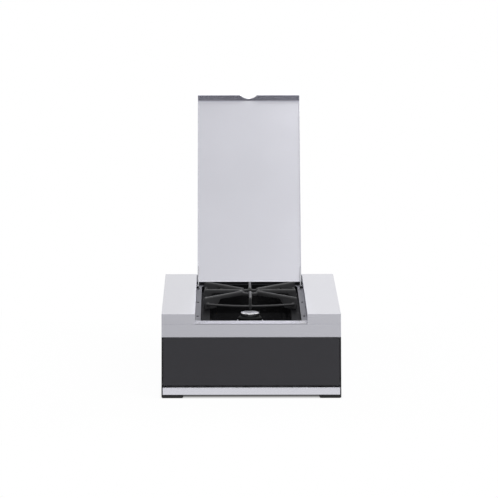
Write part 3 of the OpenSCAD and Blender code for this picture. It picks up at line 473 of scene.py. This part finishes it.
enamel, tree, shader = surface("enamel", (0.006, 0.006, 0.007), 0.16)
ripple = grain(tree, ripples_per_metre, detail=2)
pits = grain(tree, pits_per_metre, detail=2)
vary_colour(tree, shader, pits, (0.004, 0.004, 0.005), (0.011, 0.011, 0.012))
height = maths(tree, "ADD", ripple, maths(tree, "MULTIPLY", pits, pit_share))
raise_bump(tree, shader, height, ripple_depth)
print("enamel: near black, ripples of", ripple_depth * 1000, "mm")

# %% Burnt shelf of the bowl
shelf_reach = 0.012
shelf_fade = 0.001
shelf_roughness = 0.35
glass_specular = 0.3
shelf_specular = 0.02

rim_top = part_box("drip_bowl")[1][2]
dull_from = rim_top - shelf_reach
on_shelf = remap(tree, axes(tree)["Z"], dull_from, dull_from + shelf_fade, 0, 1)
gloss = remap(tree, pits, 0.35, 0.75, 0.14, 0.24)
tree.links.new(maths(tree, "ADD", gloss, maths(tree, "MULTIPLY", on_shelf, shelf_roughness)),
               shader.inputs["Roughness"])
tree.links.new(remap(tree, on_shelf, 0, 1, glass_specular, shelf_specular),
               shader.inputs["Specular IOR Level"])
print("shelf: dull above z =", round(dull_from, 4))

# %% [markdown]
# ## The charcoal front
# The flap's plate is powder coated. The coat flows out to a satin skin with a fine
# orange peel of about a millimetre, and the grey leans a little to violet. The black
# paint has the same peel. Real dimples would cost many thousand faces, and a bump shows
# the same in the gloss.

# %% Satin charcoal and black paint
charcoal = (0.0163, 0.0157, 0.0206)
charcoal_spread = 0.07
peel_per_metre = (900, 900, 900)
peel_depth = 0.00002

fascia, tree, shader = surface("fascia", charcoal, 0.42)
peel = grain(tree, peel_per_metre, detail=2)
tone = grain(tree, (9, 30, 9), detail=2)
vary_colour(tree, shader, tone, (c * (1 - charcoal_spread) for c in charcoal),
            (c * (1 + charcoal_spread) for c in charcoal))
vary_roughness(tree, shader, peel, 0.36, 0.48)
raise_bump(tree, shader, peel, peel_depth)

black_paint, tree, shader = surface("black_paint", (0.008, 0.008, 0.009), 0.45)
peel = grain(tree, peel_per_metre, detail=2)
vary_colour(tree, shader, peel, (0.006, 0.006, 0.007), (0.012, 0.012, 0.013))
vary_roughness(tree, shader, peel, 0.4, 0.52)
raise_bump(tree, shader, peel, peel_depth)
print("fascia: charcoal", charcoal)

# %% [markdown]
# ## Cast iron
# Iron poured in sand keeps the skin of the sand: bumps a quarter of a millimetre high
# under a matt black coat. Where pans slide over it, along the tops of the arms, the coat
# is rubbed to a dull grey. Pointiness, the shader's own measure of a convex edge, finds
# those places without any painting.

# %% Cast iron and the burner's black iron
sand_per_metre = (1400, 1400, 1400)
lumps_per_metre = (260, 260, 260)
worn_edges = (0.52, 0.60)
sand_share = 0.4
sand_depth = 0.00025


def sand_cast(name, low, high, wear_and_shade, roughness, specular=0.5):
    """Sand cast iron: dark between two tones, rubbed to a dull grey on its outer edges."""
    material, tree, shader = surface(name, low, roughness)
    shader.inputs["Specular IOR Level"].default_value = specular
    sand = grain(tree, sand_per_metre, detail=6, roughness=0.7)
    lumps = grain(tree, lumps_per_metre, detail=3)
    edges = make(tree, "ShaderNodeNewGeometry")
    rubbed = maths(tree, "MULTIPLY", remap(tree, edges.outputs["Pointiness"], *worn_edges, 0, 1),
                   remap(tree, lumps, 0.35, 0.65, 0.3, 1))
    mix = make(tree, "ShaderNodeMix", data_type="RGBA")
    mix.inputs[colour_b].default_value = (*wear_and_shade, 1)
    tree.links.new(rubbed, mix.inputs["Factor"])
    tree.links.new(blend_colours(tree, sand, low, high), mix.inputs[colour_a])
    tree.links.new(mix.outputs[colour_out], shader.inputs["Base Color"])
    vary_roughness(tree, shader, sand, roughness - 0.08, roughness + 0.1)
    height = maths(tree, "ADD", maths(tree, "MULTIPLY", sand, sand_share), lumps)
    raise_bump(tree, shader, height, sand_depth)
    return material


cast_iron = sand_cast("cast_iron", (0.022, 0.022, 0.024), (0.045, 0.045, 0.048),
                      (0.11, 0.11, 0.115), 0.5)
burner_black = sand_cast("burner_black", (0.006, 0.006, 0.006), (0.014, 0.014, 0.014),
                         (0.03, 0.03, 0.03), 0.6, specular=0.15)
print("iron: two castings")

# %% [markdown]
# ## Alloy, aluminium and brass
# The burner's cap is a bright alloy, the mixing tube is cast, and the gas fittings are
# turned brass. All three are bare metal that differs in colour and in the size of its
# grain, so one recipe takes those as values. Turned brass gets a noise that is coarse in
# x and fine across it, which reads as the marks of the tool.

# %% Bright alloy, cast aluminium and brass
def metal(name, dark, light, roughness, per_metre, depth):
    """Metal with a fine grain in its colour, its roughness and its surface."""
    material, tree, shader = surface(name, light, roughness, 1.0)
    fine = grain(tree, per_metre, detail=4)
    vary_colour(tree, shader, fine, dark, light)
    vary_roughness(tree, shader, fine, roughness - 0.06, roughness + 0.07)
    raise_bump(tree, shader, fine, depth)
    return material


bright_alloy = metal("bright_alloy", (0.72, 0.72, 0.73), (0.88, 0.88, 0.89), 0.28,
                     (1500, 1500, 1500), 0.00002)
aluminium = metal("aluminium", (0.46, 0.46, 0.48), (0.60, 0.60, 0.62), 0.42,
                  (1100, 1100, 1100), 0.00004)
brass = metal("brass", (0.52, 0.36, 0.14), (0.68, 0.50, 0.22), 0.3,
              (400, 2400, 2400), 0.00001)
print("metals: bright alloy, aluminium, brass")

# %% [markdown]
# ## Moulded parts
# Feet, knob, igniter and magnets come out of moulds, which print their own fine texture
# on them. What tells matt rubber from glazed ceramic is mostly the roughness, so that is
# a value of the recipe too.

# %% Rubber, ceramic and moulded plastic
def moulded(name, dark, light, roughness, per_metre, depth, specular=0.5):
    """A part from a mould, with the fine texture of the mould in it."""
    material, tree, shader = surface(name, light, roughness)
    shader.inputs["Specular IOR Level"].default_value = specular
    texture = grain(tree, (per_metre,) * 3, detail=3)
    vary_colour(tree, shader, texture, dark, light)
    vary_roughness(tree, shader, texture, roughness - 0.07, roughness + 0.08)
    raise_bump(tree, shader, texture, depth)
    return material


rubber = moulded("rubber", (0.006, 0.006, 0.006), (0.016, 0.016, 0.016), 0.72, 1200, 0.00003)
ceramic = moulded("ceramic", (0.72, 0.69, 0.61), (0.84, 0.81, 0.74), 0.22, 300, 0.00002)
black_plastic = moulded("black_plastic", (0.010, 0.010, 0.011), (0.022, 0.022, 0.024), 0.42,
                        2200, 0.00003)
magnet = moulded("magnet", (0.03, 0.03, 0.032), (0.055, 0.055, 0.06), 0.55, 900, 0.00002)
print("moulded: rubber, ceramic, plastic, magnet")

# %% [markdown]
# ## Dressing the built parts
# Every part names a finish, and the finish goes straight onto it. Real sheet and
# machined metal never has a mathematically sharp edge, and a sharp edge in a render
# catches no light. A bevel of a few tenths of a millimetre cures that. It needs a mesh
# whose faces share their corners, so a weld comes first, then flat triangles are joined
# into whole faces, and weighted normals at the end keep the large faces flat.

# %% Finishes and edges
finish_of_slot = {
    "stainless": stainless, "plain_steel": plain_steel, "galvanised": galvanised,
    "enamel": enamel, "fascia": fascia, "cast_iron": cast_iron,
    "burner_black": burner_black, "bright_alloy": bright_alloy, "aluminium": aluminium,
    "brass": brass, "rubber": rubber, "ceramic": ceramic, "magnet": magnet,
    "black_plastic": black_plastic, "black_paint": black_paint,
}
# the ledge and the back wall of the recess take the steel with painted shade
finish_of_node = {name: shaded_steel for name in ("well_frame", "well_rear")}
print("finishes:", len(finish_of_slot), "by slot,", len(finish_of_node), "by name")

# %% Soft edges
weld_distance = 0.000005
flat_angle = math.radians(0.4)
corner_angle = math.radians(35)
edge_segments = 2


def soften(piece, width):
    """Rounds a part's sharp edges without touching its own mesh."""
    for polygon in piece.data.polygons:
        polygon.use_smooth = True
    weld = piece.modifiers.new("weld", "WELD")
    weld.merge_threshold = weld_distance
    flat = piece.modifiers.new("flat", "DECIMATE")
    flat.decimate_type = "DISSOLVE"
    flat.angle_limit = flat_angle
    bevel = piece.modifiers.new("edges", "BEVEL")
    bevel.width = width
    bevel.segments = edge_segments
    bevel.limit_method = "ANGLE"
    bevel.angle_limit = corner_angle
    bevel.use_clamp_overlap = True
    normals = piece.modifiers.new("normals", "WEIGHTED_NORMAL")
    normals.keep_sharp = True


usual_edge = 0.0003
edge_width = {"stainless": 0.0005, "enamel": 0.0004, "fascia": 0.0006, "rubber": 0.0008,
              "black_plastic": 0.0006, "brass": 0.0005}
for name, part in nodes.items():
    part.data.materials.clear()
    part.data.materials.append(finish_of_node.get(name, finish_of_slot[slot_of_node[name]]))
    soften(part, edge_width.get(slot_of_node[name], usual_edge))
print("dressed:", len(nodes), "parts")

# %% [markdown]
# ## Pieces made here
# The construction model leaves out what is too fine for it: the soft edges of a casting,
# the cross in a screw head, the thread of the gas inlet. Each of these is made below by
# code, set where the built part is, and stands for it. Turned and pressed shapes are
# rings of points round an axis, so one helper that joins rings serves for all of them.

# %% A mesh into a piece
def finish_piece(name, mesh, finish, body, replaced=()):
    """Puts a mesh in the scene as a piece on a body, in a finish."""
    for polygon in mesh.polygons:
        polygon.use_smooth = True
    mesh.materials.clear()
    mesh.materials.append(finish)
    piece = bpy.data.objects.new(name, mesh)
    bpy.context.scene.collection.objects.link(piece)
    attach(piece, body)
    if replaced:
        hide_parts(*replaced)
    return piece


print("helper: finish_piece")

# %% Rings of points into a mesh
def plain_ring(radius, place):
    """A circle of one radius at one place along the axis."""
    return lambda angle: (radius, place)


def ringed(name, frame_of_piece, rings, segments, closed_loop=False):
    """Joins rings into a mesh. A ring gives its radius and its height at an angle."""
    model = bmesh.new()
    rows = []
    for ring in rings:
        row = []
        for step in range(segments):
            angle = 2 * math.pi * step / segments
            radius, height = ring(angle)
            across, along = radius * math.cos(angle), radius * math.sin(angle)
            row.append(model.verts.new((across, along, height)))
        rows.append(row)
    pairs = list(zip(rows, rows[1:]))
    if closed_loop:
        pairs.append((rows[-1], rows[0]))
    for lower, upper in pairs:
        for step in range(segments):
            following = (step + 1) % segments
            model.faces.new((lower[step], lower[following], upper[following], upper[step]))
    if not closed_loop:
        model.faces.new(rows[0][::-1])
        model.faces.new(rows[-1])
    bmesh.ops.recalc_face_normals(model, faces=model.faces)
    model.transform(frame_of_piece)
    mesh = bpy.data.meshes.new(name)
    model.to_mesh(mesh)
    model.free()
    return mesh


print("helpers: plain_ring, ringed")

# %% [markdown]
# ## The cast trivet
# Iron poured into sand has no sharp edges: every corner is a small radius, and where two
# arms meet there is a fillet. Bevels would need clean edges at each crossing, and there
# are none. Turning the whole part into voxels of about a millimetre and relaxing the new
# surface rounds the outer and the inner corners alike, as the mould does.

# %% Trivet
voxel = 0.0011
relaxing = 7
relax_factor = 0.5
kept_faces = 0.35
same_point = 0.00001

casting = bpy.data.meshes.new_from_object(nodes["trivet"])
model = bmesh.new()
model.from_mesh(casting)
bmesh.ops.remove_doubles(model, verts=model.verts, dist=same_point)
model.to_mesh(casting)
model.free()
trivet = finish_piece("trivet_casting", casting, cast_iron, "trivet",
                      ["trivet"])
remesh = trivet.modifiers.new("sand", "REMESH")
remesh.mode = "VOXEL"
remesh.voxel_size = voxel
remesh.use_smooth_shade = True
relax = trivet.modifiers.new("relax", "SMOOTH")
relax.factor = relax_factor
relax.iterations = relaxing
fewer = trivet.modifiers.new("fewer", "DECIMATE")
fewer.ratio = kept_faces
print("trivet: voxels of", voxel * 1000, "mm, relaxed", relaxing, "times")

# %% [markdown]
# ## Screws
# The ledge is held by pan head screws with a cross recess. The head is a dome of rings,
# and the cross is pressed into the same rings: a point is lowered where it lies within
# either arm of the cross. That keeps one clean mesh, where cutting with a second shape
# would leave slivers. The heads are blackened, as they usually are next to a burner. The
# sizes of the cross are shares of the head's radius and height.

# %% Screw heads
screw_black = moulded("blackened_screw", (0.008, 0.008, 0.009), (0.018, 0.018, 0.019), 0.5, 1500,
                      0.00001, specular=0.15)
head_edge = 0.35
head_rings = 16
head_segments = 64
cross_reach = 0.56
cross_width = 0.15
cross_depth = 0.7
end_slope = 0.08
side_slope = 0.06


def pan_head(name, seat, outward, radius, height, finish, body, replaced=()):
    """A domed screw head with a cross recess, on a seat and facing outward."""
    def dome(share):
        def ring(angle):
            along, across = abs(share * math.cos(angle)), abs(share * math.sin(angle))
            rise = head_edge + (1 - head_edge) * math.sqrt(max(0.0, 1 - share ** 2))
            long_side, short_side = max(along, across), min(along, across)
            in_length = min(1.0, max(0.0, (cross_reach - long_side) / end_slope))
            in_width = min(1.0, max(0.0, (cross_width - short_side) / side_slope + 0.5))
            return radius * share, height * (rise - cross_depth * (in_length * in_width))
        return ring

    shares = [1 - i / head_rings for i in range(head_rings)]
    rings = [plain_ring(radius, 0.0)] + [dome(share) for share in shares]
    turn = Vector(outward).to_track_quat("Z", "Y").to_matrix().to_4x4()
    mesh = ringed(name, Matrix.Translation(seat) @ turn, rings, head_segments)
    finish_piece(name, mesh, finish, body, replaced)


print("head:", head_rings, "rings of", head_segments, "points")

# %% Screws of the ledge
ledge_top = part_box("well_frame")[1][2]
for name in sorted(n for n in nodes if n.startswith("ledge_screw")):
    low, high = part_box(name)
    centre = (low + high) / 2
    pan_head(name + "_head", (centre[0], centre[1], ledge_top), (0, 0, 1),
             (high[0] - low[0]) / 2, high[2] - ledge_top, screw_black,
             body_of_node[name], [name])

# %% [markdown]
# ## Screws of the rear panel
# The rear panel comes off to reach the gas parts, so it is held by screws that can be
# seen and turned: three along its foot and three along its top. They are the same head
# in plain steel, so the helper is used again with other sizes.

# %% Screws of the rear panel
rear_low, rear_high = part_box("rear_panel")
screw_inset = 0.012
rear_head_r = 0.0036
rear_head_h = 0.0022
for row, height in enumerate((rear_low[2] + screw_inset, rear_high[2] - screw_inset)):
    for column, share in enumerate((-1, 0, 1)):
        across = share * (rear_high[0] - screw_inset)
        pan_head(f"rear_screw_{row * 3 + column + 1}", (across, rear_high[1], height),
                 (0, 1, 0), rear_head_r, rear_head_h, plain_steel, "housing")
print("rear panel: 6 screws")

# %% [markdown]
# ## The gas inlet
# The fitting at the back is one turned piece of brass: a hexagon inside the body, a lock
# nut outside, and a pipe thread of 14 turns to the inch. The thread is a radius that
# rises and falls along the axis and shifts by one pitch in each turn, so rings of points
# make a true helix. A bump could only hint at it, and its outline would stay straight.

# %% Measures of the inlet
tolerance = 0.0001

fit_low, fit_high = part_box("inlet_fitting")
fit_axis = ((fit_low[0] + fit_high[0]) / 2, (fit_low[2] + fit_high[2]) / 2)
fit_points = np.array([v.co for v in nodes["inlet_fitting"].data.vertices])
fit_reach = np.hypot(fit_points[:, 0] - fit_axis[0], fit_points[:, 2] - fit_axis[1])
fit_bore = float(fit_reach.min())
at_end = fit_points[:, 1] > fit_high[1] - tolerance
thread_r = float(fit_reach[at_end].max())
hex_r = float(fit_reach.max())
panel_back = rear_high[1]
fit_inner = float(fit_points[:, 1].min())
nut_back = float(fit_points[fit_reach > hex_r - 2 * tolerance, 1].max())
print("inlet: thread radius", round(thread_r * 1000, 1), "mm, bore",
      round(fit_bore * 1000, 1), "mm")

# %% Rings of the nut and of the thread
thread_pitch = 0.0254 / 14
thread_depth = 0.00116
root_r = thread_r - thread_depth
crest_slope = 1.3
crest_flat = 0.15
run_in = 0.0015
run_out = 0.0012
end_height = 0.1


def hexagon(place, shrink=0.0):
    """A ring of the six-sided nut; its corners are cut back to a circle by shrink."""
    def ring(angle):
        turned = (angle + math.pi / 6) % (math.pi / 3) - math.pi / 6
        flat = hex_r * math.cos(math.pi / 6) / math.cos(turned)
        return min(flat, hex_r - shrink), place
    return ring


def thread_ring(place, start):
    """A ring across the thread, whose crest and root turn once round it."""
    def ring(angle):
        share = ((place - start) / thread_pitch - angle / (2 * math.pi)) % 1.0
        depth = thread_depth * min(1.0, max(0.0, abs(2 * share - 1) * crest_slope - crest_flat))
        fade = min(1.0, (fit_high[1] - place) / run_out + end_height, (place - start) / run_in)
        return root_r + (thread_depth - depth) * max(0.0, fade), place
    return ring


print("thread:", round(thread_pitch * 1000, 2), "mm pitch,", thread_depth * 1000, "mm deep")

# %% Threaded inlet
shoulder_depth = 0.0013
neck_r = thread_r + 0.0016
nut_seat_r = thread_r + 0.001
hex_face_r = hex_r - 0.003
shoulder = panel_back - shoulder_depth
chamfer = 0.0012
inner_chamfer = chamfer * 0.4
nut_chamfer = chamfer * 0.8
nut_relief = 0.0003
end_round = 0.0006
thread_steps = 12
inlet_segments = 72

thread_places = np.arange(nut_back + tolerance, fit_high[1], thread_pitch / thread_steps)
rings = [plain_ring(fit_bore, fit_inner), plain_ring(hex_face_r, fit_inner),
         hexagon(fit_inner + inner_chamfer, chamfer), hexagon(fit_inner + chamfer),
         hexagon(shoulder - chamfer), hexagon(shoulder, chamfer),
         plain_ring(neck_r, shoulder), plain_ring(neck_r, panel_back),
         hexagon(panel_back, chamfer), hexagon(panel_back + nut_chamfer),
         hexagon(nut_back - nut_chamfer), hexagon(nut_back - nut_relief, chamfer),
         plain_ring(nut_seat_r, nut_back), plain_ring(root_r, nut_back)]
rings += [thread_ring(place, nut_back) for place in thread_places]
rings += [plain_ring(root_r, fit_high[1]), plain_ring(fit_bore + end_round, fit_high[1]),
          plain_ring(fit_bore, fit_high[1] - end_round)]
axis_to_back = Matrix.Rotation(math.radians(-90), 4, "X")
to_axis = Matrix.Translation((fit_axis[0], 0, fit_axis[1])) @ axis_to_back
mesh = ringed("inlet_thread", to_axis, rings, inlet_segments, closed_loop=True)
finish_piece("inlet_thread", mesh, brass, "housing",
             ["inlet_fitting"])
print("inlet:", len(rings), "rings")

# %% [markdown]
# ## The control knob
# The knob sits behind the flap. Its grip carries a painted pointer, and the panel has a
# ring of plain marks that grow from small to large flame. Marks like these are printed
# or filled with paint, so they are thin plates with rounded ends that lie on the surface.

# %% Thin marks on the sloping front
front_lean = math.radians(15)
axis_out = Vector((0, -math.cos(front_lean), math.sin(front_lean)))
axis_up = Vector((0, math.sin(front_lean), math.cos(front_lean)))
end_steps = 10
probe_reach = 0.08
knob_joint = next(j for j in frame["joints"] if j["name"] == "knob_turn")
tap_place = Vector(knob_joint["pos_m"])
white_paint = moulded("white_paint", (0.62, 0.62, 0.61), (0.72, 0.72, 0.71), 0.4, 900, 0.00001)


def mark(name, middle, along, length, width, thickness, finish, body, slot):
    """A thin plate with round ends, on a surface that faces along the knob's axis."""
    across = axis_out.cross(along)
    model = bmesh.new()
    outline = []
    for side in (1, -1):
        for step in range(end_steps + 1):
            angle = math.pi * (step / end_steps - 0.5)
            reach = side * ((length - width) / 2 + width / 2 * math.cos(angle))
            outline.append(middle + along * reach + across * side * width / 2 * math.sin(angle))
    low = [model.verts.new(point) for point in outline]
    high = [model.verts.new(point + axis_out * thickness) for point in outline]
    model.faces.new(low[::-1])
    model.faces.new(high)
    for step in range(len(outline)):
        after = (step + 1) % len(outline)
        model.faces.new((low[step], low[after], high[after], high[step]))
    bmesh.ops.recalc_face_normals(model, faces=model.faces)
    mesh = bpy.data.meshes.new(name)
    model.to_mesh(mesh)
    model.free()
    finish_piece(name, mesh, finish, body)
    for polygon in mesh.polygons:
        polygon.use_smooth = False


def surface_at(node, offset):
    """Where a part's outer face is, at an offset from the knob's axis, or None."""
    start = tap_place + offset + axis_out * probe_reach
    hit, place, _, _ = nodes[node].ray_cast(start, -axis_out)
    return place if hit else None


print("knob: axis through", [round(v, 4) for v in tap_place])

# %% Pointer and marks
sunk = axis_out * 0.00005
pointer_out = 0.011
pointer_size = (0.011, 0.0016, 0.0003)
mark_count = 9
mark_radius = 0.0275
mark_turn = 210
mark_length = 0.0025
mark_longer = 0.00035
mark_width = 0.0008
mark_wider = 0.0001
mark_thickness = 0.00015

pointer_middle = surface_at("knob", axis_up * pointer_out)
mark("knob_pointer", pointer_middle - sunk, axis_up, *pointer_size, white_paint, "knob",
     slot_of_node["knob"])
made = 0
for step in range(mark_count):
    turn = Matrix.Rotation(math.radians(-mark_turn * step / (mark_count - 1)), 3, -axis_out)
    along = turn @ axis_up
    place = surface_at("control_panel", along * mark_radius)
    if place is not None:
        made += 1
        mark(f"panel_mark_{step + 1}", place - sunk, along, mark_length + mark_longer * step,
             mark_width + mark_wider * step, mark_thickness, black_paint, "housing",
             "black_paint")
print("knob: pointer and", made, "marks on the panel")
